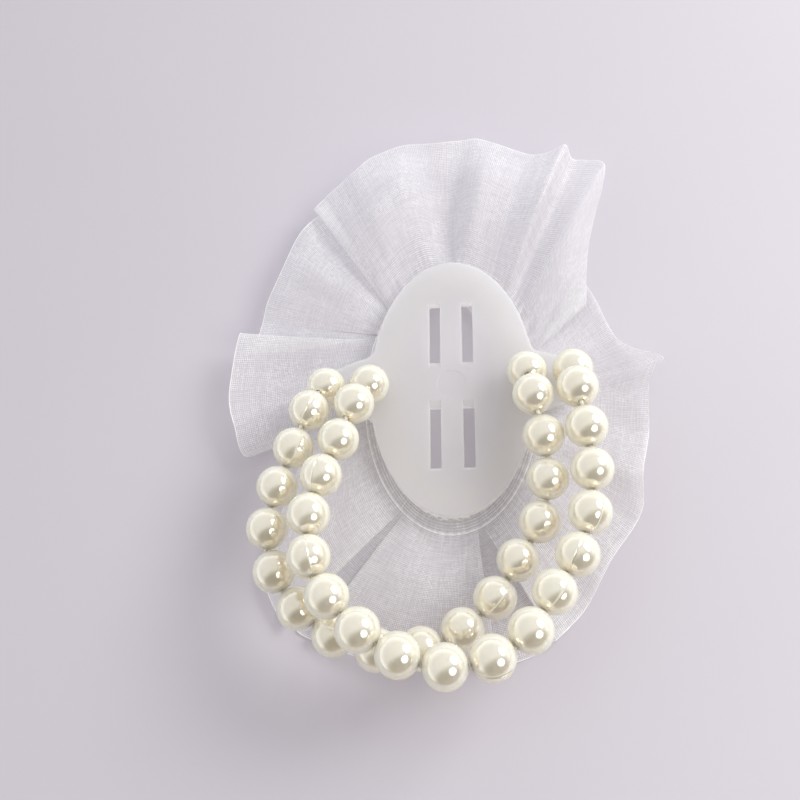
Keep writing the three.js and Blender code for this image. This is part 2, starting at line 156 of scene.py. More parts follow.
facing = add_node(frosted, "ShaderNodeSeparateXYZ", {}, {
    "Vector": add_node(frosted, "ShaderNodeNewGeometry", {}, {}).outputs["Normal"]})
upright = add_node(frosted, "ShaderNodeMath", {"operation": "ABSOLUTE"}, {
    0: facing.outputs["Z"]})
density = add_node(frosted, "ShaderNodeMapRange", {}, {
    "Value": upright.outputs[0], "From Min": WALL_UPRIGHT, "From Max": FACE_UPRIGHT,
    "To Min": WALL_MILK, "To Max": FACE_MILK})
clear = add_node(frosted, "ShaderNodeBsdfTransparent", {}, {})
moulding = add_node(frosted, "ShaderNodeMixShader", {}, {
    0: density.outputs["Result"], 1: clear.outputs[0], 2: milky.outputs[0]})
link(frosted, moulding.outputs[0], frosted.node_tree.nodes["Material Output"], "Surface")
link(frosted, flow_colour.outputs[2], shader, "Base Color")
link(frosted, matt.outputs["Result"], shader, "Roughness")
link(frosted, grit_bump.outputs["Normal"], shader, "Normal")

WELD_DISTANCE = 0.002 * MM
EDGE_RADIUS = 0.12 * MM
SHARP_EDGE = math.radians(30)
plate = nodes["base_plate"]
plate.material_slots[0].material = frosted
weld = plate.modifiers.new("weld", "WELD")
weld.merge_threshold = WELD_DISTANCE
edge_radius = plate.modifiers.new("edge_radius", "BEVEL")
edge_radius.width = EDGE_RADIUS
edge_radius.segments = 2
edge_radius.limit_method = "ANGLE"
edge_radius.angle_limit = SHARP_EDGE
edge_radius.harden_normals = True
even_normals = plate.modifiers.new("even_normals", "WEIGHTED_NORMAL")
even_normals.keep_sharp = True
for face in plate.data.polygons:
    face.use_smooth = True


# Glue: a hand-laid bead of hot-melt under the rim of the plate, cloudy and uneven in width.
# It is a ring drawn out to the oval, squashed between plate and ruffle.
GLUE_LENGTH_HALF = 24.0 * MM
GLUE_WIDTH_HALF = 13.3 * MM
GLUE_BEAD_HALF = 1.1 * MM
GLUE_SWELL = 0.3
GLUE_SWELL_LENGTH = 4 * MM
GLUE_FILLS = 0.96
bpy.ops.mesh.primitive_torus_add(
    major_radius=GLUE_WIDTH_HALF, minor_radius=GLUE_BEAD_HALF,
    major_segments=160, minor_segments=16)
glue = bpy.context.object
glue.name = "hot_melt_bead"
glue_low, glue_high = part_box("glue_ring")
glue_middle = (glue_low.z + glue_high.z) / 2
glue_flat = (glue_high.z - glue_low.z) / (2 * GLUE_BEAD_HALF)
for vertex in glue.data.vertices:
    spot = Vector((vertex.co.x, vertex.co.y, 0))
    swell = 1 + GLUE_SWELL * noise.noise(spot / GLUE_SWELL_LENGTH)
    centre = spot.normalized() * GLUE_WIDTH_HALF
    out = vertex.co - centre
    level = out.z * glue_flat * GLUE_FILLS + glue_middle
    centre.y *= GLUE_LENGTH_HALF / GLUE_WIDTH_HALF
    vertex.co = centre + Vector((out.x * swell, out.y * swell, level))
bpy.ops.object.shade_smooth()

# EVA hot-melt: slightly yellow and smooth where it set in the air, with cloudy streaks about 5 mm
# wide. It is more clear than cloudy, so that it hardly shows through the plate.
CLOUD_WIDTH = 5 * MM
GLUE_SCATTERS = 0.5
GLUE_CLOUDINESS = 0.4
melt, shader = new_material("eva_hot_melt", {
    "Roughness": 0.35, "IOR": 1.48, "Subsurface Weight": 1, "Subsurface Radius": (1, 0.9, 0.7),
    "Subsurface Scale": 3 * MM})
place = add_node(melt, "ShaderNodeTexCoord", {}, {}).outputs["Object"]
cloud = add_node(melt, "ShaderNodeTexNoise", {}, {
    "Vector": place, "Scale": 1 / CLOUD_WIDTH, "Detail": 4})
cloud_colour = add_node(melt, "ShaderNodeMix", {"data_type": "RGBA"}, {
    0: cloud.outputs["Fac"], 6: linear("FCF9F0"), 7: linear("F6F1E4")})
link(melt, cloud_colour.outputs[2], shader, "Base Color")
lit_through = add_node(melt, "ShaderNodeBsdfTranslucent", {}, {"Color": cloud_colour.outputs[2]})
cloudy = add_node(melt, "ShaderNodeMixShader", {}, {
    0: GLUE_SCATTERS, 1: shader.outputs[0], 2: lit_through.outputs[0]})
clear = add_node(melt, "ShaderNodeBsdfTransparent", {}, {})
set_melt = add_node(melt, "ShaderNodeMixShader", {}, {
    0: GLUE_CLOUDINESS, 1: clear.outputs[0], 2: cloudy.outputs[0]})
link(melt, set_melt.outputs[0], melt.node_tree.nodes["Material Output"], "Surface")
glue.data.materials.append(melt)
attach(glue, "base")
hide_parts("glue_ring")


# Ruffle: a white organza ribbon about 40 mm wide, drawn up on a thread along one edge and glued by
# that edge under the plate. It lies in loose pleats, and its free edge is a woven selvage.
# Its sizes are in millimetres. Each row is a point of the selvage: x, y, height of the edge above
# the table, height of the cloth half way out, and the angle round the plate where it is gathered.
SELVAGE = [
    # Upper left, from under the left flap to the first crease
    (-41.1, 16.3, 4.6, 3.4, 150), (-39.8, 21.0, 5.8, 4.8, 147.5), (-36.1, 29.5, 6.8, 6.4, 143),
    (-33.9, 35.8, 6.0, 5.8, 139.5), (-31.2, 40.0, 5.4, 3.6, 137.5), (-27.0, 44.4, 4.0, 2.2, 136.5),
    # Top: a raised pleat, a hollow, and a second pleat with two upright tips
    (-30.0, 42.0, 6.8, 5.4, 135.5), (-27.7, 45.2, 6.6, 7.4, 132), (-24.3, 48.0, 7.2, 8.6, 126),
    (-20.7, 50.4, 8.4, 9.6, 119), (-17.5, 53.9, 7.6, 9.8, 111), (-13.2, 56.4, 6.8, 9.4, 102),
    (-9.6, 57.5, 6.4, 6.8, 97), (-5.6, 57.5, 6.4, 4.2, 94.5), (-1.7, 57.3, 6.8, 3.2, 92),
    (3.0, 57.6, 6.6, 3.8, 89.5), (6.4, 57.7, 6.6, 6.4, 87), (10.0, 56.6, 6.2, 8.4, 81),
    (14.4, 54.8, 5.8, 7.0, 72), (18.4, 53.0, 6.0, 6.4, 63), (22.2, 52.3, 7.4, 7.6, 55),
    (25.7, 52.4, 9.6, 8.8, 49), (27.2, 51.0, 6.4, 4.2, 46), (30.0, 50.4, 6.4, 4.2, 42.5),
    (33.7, 47.9, 8.4, 6.8, 38), (33.2, 43.2, 7.0, 6.8, 34), (31.4, 37.5, 5.6, 6.0, 29.5),
    (29.6, 30.5, 4.6, 4.8, 25), (28.8, 24.0, 4.0, 3.6, 21), (28.2, 17.0, 3.2, 2.4, 18),
    # Right: one layer that comes out from under the top and runs down the side
    (26.8, 26.0, 0.7, 0.6, 16.5), (30.1, 20.9, 0.6, 0.5, 13), (34.9, 9.9, 0.8, 0.3, 8),
    (42.8, 5.0, 3.4, 0.2, 4), (41.1, 2.6, 4.4, 0.2, 1), (39.7, -2.0, 2.6, 0.5, -2.5),
    (39.3, -10.2, 1.0, 0.9, -8), (37.4, -18.6, 2.0, 1.8, -16), (36.5, -26.7, 0.8, 0.8, -24),
    (30.0, -36.0, 1.8, 1.8, -36), (25.0, -44.6, 0.9, 1.2, -50), (20.6, -49.2, 1.6, 2.4, -64),
    (18.6, -51.0, 2.0, 3.0, -70), (21.5, -48.4, 0.5, 0.6, -71),
    # Foot: the hollow, the middle pleat, and the hollow on its left
    (15.0, -53.3, 0.3, 0.3, -72), (9.0, -55.3, 0.3, 0.3, -72.6), (3.0, -56.0, 0.4, 0.5, -73.2),
    (7.6, -55.6, 2.4, 4.4, -74), (3.0, -56.0, 2.8, 5.6, -81), (-3.0, -56.4, 3.0, 5.8, -90),
    (-10.8, -55.9, 3.2, 5.8, -101), (-18.0, -54.2, 3.0, 5.2, -111), (-25.0, -51.8, 2.4, 4.0, -119),
    (-28.8, -50.3, 1.8, 3.2, -122), (-25.2, -51.6, 0.4, 0.5, -122.6),
    (-31.0, -49.4, 0.3, 0.3, -123.2), (-35.6, -44.8, 0.4, 0.4, -123.8),
    # Left: the panel beside the plate, then the flap over it
    (-33.6, -48.2, 2.2, 3.6, -124.6), (-37.0, -43.0, 2.0, 3.8, -131), (-38.9, -36.8, 2.0, 3.2, -141),
    (-37.0, -28.8, 1.6, 2.4, -151), (-34.2, -20.4, 1.2, 1.6, -160), (-32.4, -13.8, 1.4, 1.3, -168),
    (-36.3, -10.8, 2.4, 1.3, -173), (-43.4, -13.5, 3.8, 1.4, -178), (-45.7, -7.2, 5.6, 1.9, -185),
    (-46.8, -2.0, 6.8, 2.2, -192), (-46.2, 4.5, 7.8, 2.8, -199), (-44.6, 12.4, 8.6, 5.0, -206.5),
    (-43.4, 8.8, 4.4, 2.6, -208),
]
RIBBON_WIDTH = 40.0
HEADER_WIDTH = 7.0
HEADER_HEIGHT = 2.3
GATHER_CENTRE = np.array([-0.4, -1.6])
GATHER_HALF = np.array([18.1, 29.0])
INNER_CENTRE = np.array([-0.5, -0.3])
INNER_HALF = np.array([9.2, 20.8])
INNER_WAVE = 0.5
GATHERS = 74
GATHER_RIDGE = 0.3
GATHER_DEPTH, GATHER_REACH = 0.18, 0.05
PUCKER_DEPTH, PUCKER_REACH = 0.06, 0.2
WRINKLE_DEPTH = 0.16
LOWEST_CLOTH = 0.1
LEAST_TURN = 0.001
RUFFLE_COLUMNS = 840
HEADER_ROWS = 5
FRILL_ROWS = 36


def closed_curve(points, count):
    """As many points of a smooth closed curve through the given rows, and their places in it."""
    place = np.arange(count) * len(points) / count
    first = place.astype(int)
    t = (place - first)[:, None]
    p0, p1, p2, p3 = (points[(first + k) % len(points)] for k in (-1, 0, 1, 2))
    curve = 0.5 * (2 * p1 + (p2 - p0) * t + (2 * p0 - 5 * p1 + 4 * p2 - p3) * t**2
                   + (3 * p1 - p0 - 3 * p2 + p3) * t**3)
    return curve, place / len(points)


selvage = np.array(SELVAGE)
selvage[:, 4] += 360 * np.arange(len(selvage)) / len(selvage)
edge, share = closed_curve(selvage, RUFFLE_COLUMNS)
falling = np.minimum.accumulate(edge[:, 4] - 360 * share)
gather_angle = np.radians(falling - LEAST_TURN * np.arange(RUFFLE_COLUMNS))
around = np.column_stack([np.cos(gather_angle), np.sin(gather_angle)])
gather_line = GATHER_CENTRE + GATHER_HALF * around
inner_half = INNER_HALF + INNER_WAVE * np.sin(5 * gather_angle)[:, None]
inner_line = INNER_CENTRE + inner_half * around
step = np.linalg.norm(np.roll(edge[:, :3], -1, 0) - edge[:, :3], axis=1)
along = np.concatenate([[0], np.cumsum(step)])
uneven_spacing = 2.5 * np.sin(7 * gather_angle) + 1.7 * np.sin(17 * gather_angle)
gathers = np.sin(GATHERS * gather_angle + uneven_spacing)
start = along[:-1]
wrinkles = np.sin(start / 2.6 + 0.9) + 0.6 * np.sin(start / 1.1 + 2.0 * np.sin(start / 7))

rows = []
for k in range(HEADER_ROWS):
    v = k / HEADER_ROWS
    place = (1 - v) * inner_line + v * gather_line
    height = HEADER_HEIGHT + GATHER_DEPTH * v * gathers
    rows.append((v * HEADER_WIDTH, np.column_stack([place, height])))
for k in range(FRILL_ROWS):
    v = k / (FRILL_ROWS - 1)
    place = (1 - v) * gather_line + v * edge[:, :2]
    height = (HEADER_HEIGHT * (1 - v) * (1 - 2 * v) + edge[:, 3] * 4 * v * (1 - v)
              + edge[:, 2] * v * (2 * v - 1))
    height += WRINKLE_DEPTH * wrinkles * v * (1.4 - v)
    height += gathers * (GATHER_DEPTH * math.exp(-v / GATHER_REACH)
                         + PUCKER_DEPTH * math.exp(-v / PUCKER_REACH))
    height += GATHER_RIDGE if k == 0 else 0
    width = HEADER_WIDTH + v * (RIBBON_WIDTH - HEADER_WIDTH)
    rows.append((width, np.column_stack([place, np.maximum(height, LOWEST_CLOTH)])))
vertices = np.concatenate([points for _, points in rows]) * MM + [0, 0, TABLE_LEVEL]
faces = []
for k in range(len(rows) - 1):
    for i in range(RUFFLE_COLUMNS):
        j = (i + 1) % RUFFLE_COLUMNS
        low, high = k * RUFFLE_COLUMNS, (k + 1) * RUFFLE_COLUMNS
        faces.append((low + i, high + i, high + j, low + j))
mesh = bpy.data.meshes.new("organza_frill")
mesh.from_pydata(vertices.tolist(), [], faces)
thread_map = mesh.uv_layers.new(name="threads")
across = np.array([width for width, _ in rows])
corner = np.array(faces).ravel()
corner_column = corner % RUFFLE_COLUMNS
last_column = np.repeat(np.arange(len(faces)) % RUFFLE_COLUMNS == RUFFLE_COLUMNS - 1, 4)
closing = last_column & (corner_column == 0)
corner_along = along[np.where(closing, RUFFLE_COLUMNS, corner_column)]
uv = np.column_stack([corner_along, across[corner // RUFFLE_COLUMNS]])
thread_map.data.foreach_set("uv", uv.astype(np.float32).ravel())
ruffle = bpy.data.objects.new("organza_frill", mesh)
bpy.context.collection.objects.link(ruffle)
for face in mesh.polygons:
    face.use_smooth = True

# Nylon organza: sheer plain weave of bright, stiff filaments with thin and thick places. The
# threads are drawn 0.42 mm apart, about twice the real spacing, so that the weave shows. Random
# crossings, mostly in patches about 8 mm wide, are painted denser and whiter: painted glints that
# stand in for single crossings catching the light.
THREAD_SPACING = 0.42
THREAD_RELIEF = 0.1 * MM
SLUBS_ACROSS, SLUBS_ALONG = 2.0, 0.14
THIN_PLACE, THICK_PLACE = 0.55, 0.8
GAP_COVER = 0.46
# Painted glints: the width of the patches where they gather, and their strength outside those
# patches.
PAINTED_GLINT_PATCH = 8
PAINTED_GLINT_OUTSIDE_PATCHES = 0.15
SELVAGE_WIDTH = 0.25
CREASE_HALF = 0.16
THREAD_LETS_THROUGH, DOUBLED_LETS_THROUGH = 0.38, 0.1
organza, shader = new_material("nylon_organza", {
    "Roughness": 0.25, "IOR": 1.53, "Specular IOR Level": 0.9, "Sheen Weight": 0.3,
    "Sheen Roughness": 0.4})
thread_place = add_node(organza, "ShaderNodeUVMap", {"uv_map": "threads"}, {}).outputs["UV"]
thread_axes = add_node(organza, "ShaderNodeSeparateXYZ", {}, {"Vector": thread_place})
waves = []
for axis in ("X", "Y"):
    phase = add_node(organza, "ShaderNodeMath", {"operation": "MULTIPLY"}, {
        0: thread_axes.outputs[axis], 1: 2 * math.pi / THREAD_SPACING})
    wave = add_node(organza, "ShaderNodeMath", {"operation": "COSINE"}, {0: phase.outputs[0]})
    waves.append(wave.outputs[0])
weave = add_node(organza, "ShaderNodeMath", {"operation": "MAXIMUM"}, {
    0: waves[0], 1: waves[1]}).outputs[0]
crossing = add_node(organza, "ShaderNodeVectorMath", {"operation": "SNAP"}, {
    0: thread_place, 1: (THREAD_SPACING, THREAD_SPACING, 1)})
# Painted glints: one random value for each crossing of the threads. It makes the higher crossings a
# little whiter, picks the crossings that are painted as glints, and roughens the bump.
painted_glint_noise = add_node(organza, "ShaderNodeTexWhiteNoise", {"noise_dimensions": "2D"}, {
    "Vector": crossing.outputs[0]})
thread_colour_with_painted_glints = add_node(organza, "ShaderNodeMix", {"data_type": "RGBA"}, {
    0: painted_glint_noise.outputs["Value"], 6: linear("FBFAFC"), 7: linear("FFFFFF")})
slubs = []
for stretch in ((SLUBS_ACROSS, SLUBS_ALONG, 1), (SLUBS_ALONG, SLUBS_ACROSS, 1)):
    drawn = add_node(organza, "ShaderNodeVectorMath", {"operation": "MULTIPLY"}, {
        0: thread_place, 1: stretch})
    slubs.append(add_node(organza, "ShaderNodeTexNoise", {"noise_dimensions": "2D"}, {
        "Vector": drawn.outputs[0], "Scale": 1, "Detail": 1}).outputs["Fac"])
slub = add_node(organza, "ShaderNodeMath", {"operation": "ADD"}, {0: slubs[0], 1: slubs[1]})
thickness = add_node(organza, "ShaderNodeMapRange", {}, {
    "Value": slub.outputs[0], "From Min": 0.7, "From Max": 1.3,
    "To Min": THIN_PLACE, "To Max": THICK_PLACE})
cover = add_node(organza, "ShaderNodeMapRange", {"interpolation_type": "SMOOTHSTEP"}, {
    "Value": weave, "From Min": 0, "From Max": 0.8,
    "To Min": GAP_COVER, "To Max": thickness.outputs["Result"]})
over_under = add_node(organza, "ShaderNodeMath", {"operation": "ADD"}, {0: waves[0], 1: waves[1]})
# Painted glints: a noise picks patches about 8 mm wide where they are strong. In those patches the
# chosen crossings are drawn as opaque white dots.
patches = add_node(organza, "ShaderNodeTexNoise", {"noise_dimensions": "2D"}, {
    "Vector": thread_place, "Scale": 1 / PAINTED_GLINT_PATCH, "Detail": 2})
painted_glint_patches = add_node(organza, "ShaderNodeMapRange", {"interpolation_type": "SMOOTHSTEP"}, {
    "Value": patches.outputs["Fac"], "From Min": 0.42, "From Max": 0.6, "To Min": PAINTED_GLINT_OUTSIDE_PATCHES})
painted_glint_strength = add_node(organza, "ShaderNodeMapRange", {}, {
    "Value": painted_glint_noise.outputs["Value"], "From Min": 0.3, "From Max": 0.9,
    "To Max": painted_glint_patches.outputs["Result"]})
painted_glint_dots = add_node(organza, "ShaderNodeMapRange", {"interpolation_type": "SMOOTHSTEP"}, {
    "Value": over_under.outputs[0], "From Min": -0.2, "From Max": 1.2,
    "To Max": painted_glint_strength.outputs["Result"]})
at_edge = add_node(organza, "ShaderNodeMath", {"operation": "GREATER_THAN"}, {
    0: thread_axes.outputs["Y"], 1: RIBBON_WIDTH - SELVAGE_WIDTH})
at_crease = add_node(organza, "ShaderNodeMath", {"operation": "COMPARE"}, {
    0: thread_axes.outputs["Y"], 1: HEADER_WIDTH, 2: CREASE_HALF})
# The selvage and the crease are real doubled cloth. The painted glint dots are drawn as dense as
# these and let as little light through.
doubled = add_node(organza, "ShaderNodeMath", {"operation": "MAXIMUM"}, {
    0: at_edge.outputs[0], 1: at_crease.outputs[0]})
dense_or_painted_glint = add_node(organza, "ShaderNodeMath", {"operation": "MAXIMUM"}, {
    0: painted_glint_dots.outputs["Result"], 1: doubled.outputs[0]})
cover_with_painted_glints = add_node(organza, "ShaderNodeMix", {"data_type": "FLOAT"}, {
    0: dense_or_painted_glint.outputs[0], 2: cover.outputs["Result"], 3: 1})
lets_through = add_node(organza, "ShaderNodeMapRange", {}, {
    "Value": dense_or_painted_glint.outputs[0], "To Min": THREAD_LETS_THROUGH, "To Max": DOUBLED_LETS_THROUGH})
uneven = add_node(organza, "ShaderNodeMath", {"operation": "ADD"}, {
    0: weave, 1: painted_glint_noise.outputs["Value"]})
thread_bump = add_node(organza, "ShaderNodeBump", {}, {
    "Strength": 0.4, "Distance": THREAD_RELIEF, "Height": uneven.outputs[0]})
link(organza, thread_colour_with_painted_glints.outputs[2], shader, "Base Color")
back_light = add_node(organza, "ShaderNodeBsdfTranslucent", {}, {
    "Color": thread_colour_with_painted_glints.outputs[2]})
threads = add_node(organza, "ShaderNodeMixShader", {}, {
    0: lets_through.outputs["Result"], 1: shader.outputs[0], 2: back_light.outputs[0]})
gaps = add_node(organza, "ShaderNodeBsdfTransparent", {}, {})
cloth = add_node(organza, "ShaderNodeMixShader", {}, {
    0: cover_with_painted_glints.outputs[0], 1: gaps.outputs[0], 2: threads.outputs[0]})
link(organza, cloth.outputs[0], organza.node_tree.nodes["Material Output"], "Surface")
link(organza, thread_bump.outputs["Normal"], shader, "Normal")
mesh.materials.append(organza)
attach(ruffle, "base")
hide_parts("organza_ruffle")


# Gathering thread: white sewing thread in a running stitch, up and down through the header of the
# ruffle. It is a fine round tube along the stitches.
STITCHES = 44
STITCH_POINTS = 8
STITCH_INSET = 3
STITCH_RISE = 0.42
STITCH_FLATNESS = 2.2
THREAD_RADIUS = 0.18 * MM
bpy.ops.curve.primitive_nurbs_path_add()
stitching = bpy.context.object
stitching.name = "running_stitch"
stitching.data.splines.clear()
spline = stitching.data.splines.new("POLY")
stitch_count = STITCHES * STITCH_POINTS
spline.points.add(stitch_count - 1)
half_width, half_length = GATHER_HALF - STITCH_INSET
for i, point in enumerate(spline.points):
    angle = 2 * math.pi * i / stitch_count
    x = GATHER_CENTRE[0] + half_width * math.cos(angle)
    y = GATHER_CENTRE[1] + half_length * math.sin(angle)
    rise = STITCH_RISE * math.tanh(STITCH_FLATNESS * math.sin(2 * math.pi * i / STITCH_POINTS))
    point.co = (x * MM, y * MM, (HEADER_HEIGHT + rise) * MM + TABLE_LEVEL, 1)
spline.use_cyclic_u = True
stitching.data.bevel_depth = THREAD_RADIUS
stitching.data.bevel_resolution = 2
bpy.ops.object.convert(target="MESH")
stitching = bpy.context.object
bpy.ops.object.shade_smooth()

# Spun polyester thread: matt white with the twist of its plies, drawn 0.6 mm to the turn, with
# painted shade in the grooves between the plies. The bands of a wave texture are 0.314 apart at
# scale 1.
PLY_TURN = 0.6 * MM
PLY_DEPTH = 0.05 * MM
BAND_AT_SCALE_1 = 0.314
spun, shader = new_material("spun_polyester_thread", {
    "Roughness": 0.7, "IOR": 1.5, "Sheen Weight": 0.3})
place = add_node(spun, "ShaderNodeTexCoord", {}, {}).outputs["Object"]
ply = add_node(spun, "ShaderNodeTexWave", {"bands_direction": "DIAGONAL"}, {
    "Vector": place, "Scale": BAND_AT_SCALE_1 / PLY_TURN, "Distortion": 0.6})
# Painted shade: the grooves between the plies, where the bump sinks, are drawn darker.
plies_with_painted_shade = add_node(spun, "ShaderNodeMix", {"data_type": "RGBA"}, {
    0: ply.outputs["Fac"], 6: linear("E4E2DE"), 7: linear("FAF9F6")})
ply_bump = add_node(spun, "ShaderNodeBump", {}, {
    "Strength": 0.5, "Distance": PLY_DEPTH, "Height": ply.outputs["Fac"]})
link(spun, plies_with_painted_shade.outputs[2], shader, "Base Color")
link(spun, ply_bump.outputs["Normal"], shader, "Normal")
stitching.data.materials.append(spun)
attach(stitching, "base")
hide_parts("gathering_thread")


# Elastic ties: the milky elastic cord passes down one slot of each ear, along under it and up the
# other slot. On the right ear its two ends are tied in an overhand knot.
CORD_RADIUS = 0.4 * MM
RUN_LEVEL = -0.65 * MM
BEND_RADIUS = 0.9 * MM
BEND_STEPS = 6
KNOT_SIZE = 0.27 * MM
KNOT_DROP = 0.7 * MM
KNOT_POINTS = 72


def cord_piece(name, points, closed=False):
    """A round cord of the elastic's diameter through points in metres, as a mesh."""
    bpy.ops.curve.primitive_nurbs_path_add()
    cord = bpy.context.object
    cord.name = name
    cord.data.splines.clear()
    line = cord.data.splines.new("POLY")
    line.points.add(len(points) - 1)
    for point, place in zip(line.points, points):
        point.co = (*place, 1)
    line.use_cyclic_u = closed
    cord.data.bevel_depth = CORD_RADIUS
    cord.data.bevel_resolution = 3
    cord.data.use_fill_caps = True
    bpy.ops.object.convert(target="MESH")
    cord = bpy.context.object
    cord.name = name
    bpy.ops.object.shade_smooth()
    return cord


# Polyurethane elastic: slightly yellow, milky and smooth, with a faint haze about 1.5 mm wide.
HAZE_WIDTH = 1.5 * MM
elastic, shader = new_material("polyurethane_elastic", {
    "Roughness": 0.2, "IOR": 1.5, "Subsurface Weight": 1, "Subsurface Radius": (1, 1, 0.9),
    "Subsurface Scale": 1 * MM})
place = add_node(elastic, "ShaderNodeTexCoord", {}, {}).outputs["Object"]
haze = add_node(elastic, "ShaderNodeTexNoise", {}, {
    "Vector": place, "Scale": 1 / HAZE_WIDTH, "Detail": 3})
haze_colour = add_node(elastic, "ShaderNodeMix", {"data_type": "RGBA"}, {
    0: haze.outputs["Fac"], 6: linear("FFF9E2"), 7: linear("F8F0D2")})
link(elastic, haze_colour.outputs[2], shader, "Base Color")

for node_name in ("ear_tie_left", "ear_tie_right"):
    tie_low, tie_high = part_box(node_name)
    left, right = tie_low.x + CORD_RADIUS, tie_high.x - CORD_RADIUS
    middle = (tie_low.y + tie_high.y) / 2
    left_half = [(left, tie_high.z)]
    for i in range(BEND_STEPS + 1):
        angle = math.pi / 2 * i / BEND_STEPS
        left_half.append((left + BEND_RADIUS * (1 - math.cos(angle)),
                          RUN_LEVEL + BEND_RADIUS * (1 - math.sin(angle))))
    right_half = [(left + right - x, z) for x, z in reversed(left_half)]
    tie_route = [Vector((x, middle, z)) for x, z in left_half + right_half]
    tie = cord_piece(node_name.replace("ear_tie", "elastic_tie"), tie_route)
    if node_name == "ear_tie_right":
        centre = Vector(((left + right) / 2, middle, RUN_LEVEL - KNOT_DROP))
        knot_route = []
        for i in range(KNOT_POINTS):
            t = 2 * math.pi * i / KNOT_POINTS
            knot_route.append(centre + KNOT_SIZE * Vector((
                math.sin(t) + 2 * math.sin(2 * t), -1.4 * math.sin(3 * t),
                math.cos(t) - 2 * math.cos(2 * t))))
        knot = cord_piece("elastic_knot", knot_route, closed=True)
        knot.data.materials.append(elastic)
        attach(knot, "base")
    tie.data.materials.append(elastic)
    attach(tie, "base")
    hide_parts(node_name)


# Pearls: moulded ABS beads with a pearl-essence coating, drilled along one axis. The two halves of
# the mould leave a fine raised line from bore to bore. One bead is modelled, then copied.
PEARL_RADIUS = 4 * MM
BORE_RADIUS = 0.55 * MM
MOULD_LINE_HALF = 0.06 * MM
MOULD_LINE_RISE = 0.05 * MM
CLOSE = 0.001 * MM
SHARP_LIP = math.radians(50)
bpy.ops.mesh.primitive_uv_sphere_add(segments=56, ring_count=40, radius=PEARL_RADIUS)
bead = bpy.context.object
bead.name = "pearl_pattern"
bpy.ops.object.mode_set(mode="EDIT")
bpy.ops.mesh.select_mode(type="VERT")
bpy.ops.mesh.select_all(action="DESELECT")
bpy.ops.object.mode_set(mode="OBJECT")
for vertex in bead.data.vertices:
    vertex.select = math.hypot(vertex.co.x, vertex.co.y) < BORE_RADIUS
bpy.ops.object.mode_set(mode="EDIT")
bpy.ops.mesh.delete(type="VERT")
bpy.ops.mesh.select_all(action="SELECT")
bpy.ops.mesh.region_to_loop()
bpy.ops.mesh.bridge_edge_loops(number_cuts=6)
bpy.ops.mesh.select_all(action="SELECT")
bpy.ops.mesh.normals_make_consistent(inside=False)
bpy.ops.object.mode_set(mode="OBJECT")
for line in bead.data.edges:
    ends = [bead.data.vertices[i].co for i in line.vertices]
    on_sphere = all(abs(end.length - PEARL_RADIUS) < CLOSE for end in ends)
    line.select = on_sphere and all(abs(end.x) < CLOSE and end.y > 0 for end in ends)
for vertex in bead.data.vertices:
    vertex.select = False
for face in bead.data.polygons:
    face.select = False
bpy.ops.object.mode_set(mode="EDIT")
bpy.ops.mesh.select_mode(type="EDGE")
bpy.ops.mesh.bevel(offset=MOULD_LINE_HALF, segments=2, affect="EDGES")
bpy.ops.object.mode_set(mode="OBJECT")
for vertex in bead.data.vertices:
    outside = vertex.co.length > PEARL_RADIUS * 0.98
    if outside and abs(vertex.co.x) < CLOSE and vertex.co.y > BORE_RADIUS:
        vertex.co = vertex.co.normalized() * (PEARL_RADIUS + MOULD_LINE_RISE)
bpy.ops.object.shade_smooth_by_angle(angle=SHARP_LIP)

# Pearl-essence lacquer on ivory ABS: a soft mirror under a clear coat, so it shows the room as
# broad light and dark. Towards the rim the mirror fades into the creamy body. The coating has
# faint swirls about 2 mm wide.
SWIRL_WIDTH = 2 * MM
FADE_STARTS, FADE_ENDS = 0.28, 0.44
MIRROR_MIDDLE, MIRROR_RIM = 0.58, 0.03
nacre, shader = new_material("pearl_essence_lacquer", {
    "Roughness": 0.12, "IOR": 1.55, "Coat Weight": 0.6, "Coat Roughness": 0.04,
    "Sheen Weight": 0.7, "Sheen Roughness": 0.3, "Sheen Tint": linear("FFF6C8"),
    "Subsurface Weight": 1, "Subsurface Radius": (1, 0.95, 0.75), "Subsurface Scale": 6 * MM})
place = add_node(nacre, "ShaderNodeTexCoord", {}, {}).outputs["Object"]
swirl = add_node(nacre, "ShaderNodeTexNoise", {}, {
    "Vector": place, "Scale": 1 / SWIRL_WIDTH, "Detail": 4, "Distortion": 2.5})
ivory = add_node(nacre, "ShaderNodeMix", {"data_type": "RGBA"}, {
    0: swirl.outputs["Fac"], 6: linear("FCF3DF"), 7: linear("F9EFD7")})
link(nacre, ivory.outputs[2], shader, "Base Color")
slant = add_node(nacre, "ShaderNodeLayerWeight", {}, {"Blend": 0.5})
mirror = add_node(nacre, "ShaderNodeMapRange", {"interpolation_type": "SMOOTHSTEP"}, {
    "Value": slant.outputs["Facing"], "From Min": FADE_STARTS, "From Max": FADE_ENDS,
    "To Min": MIRROR_MIDDLE, "To Max": MIRROR_RIM})
link(nacre, mirror.outputs["Result"], shader, "Metallic")

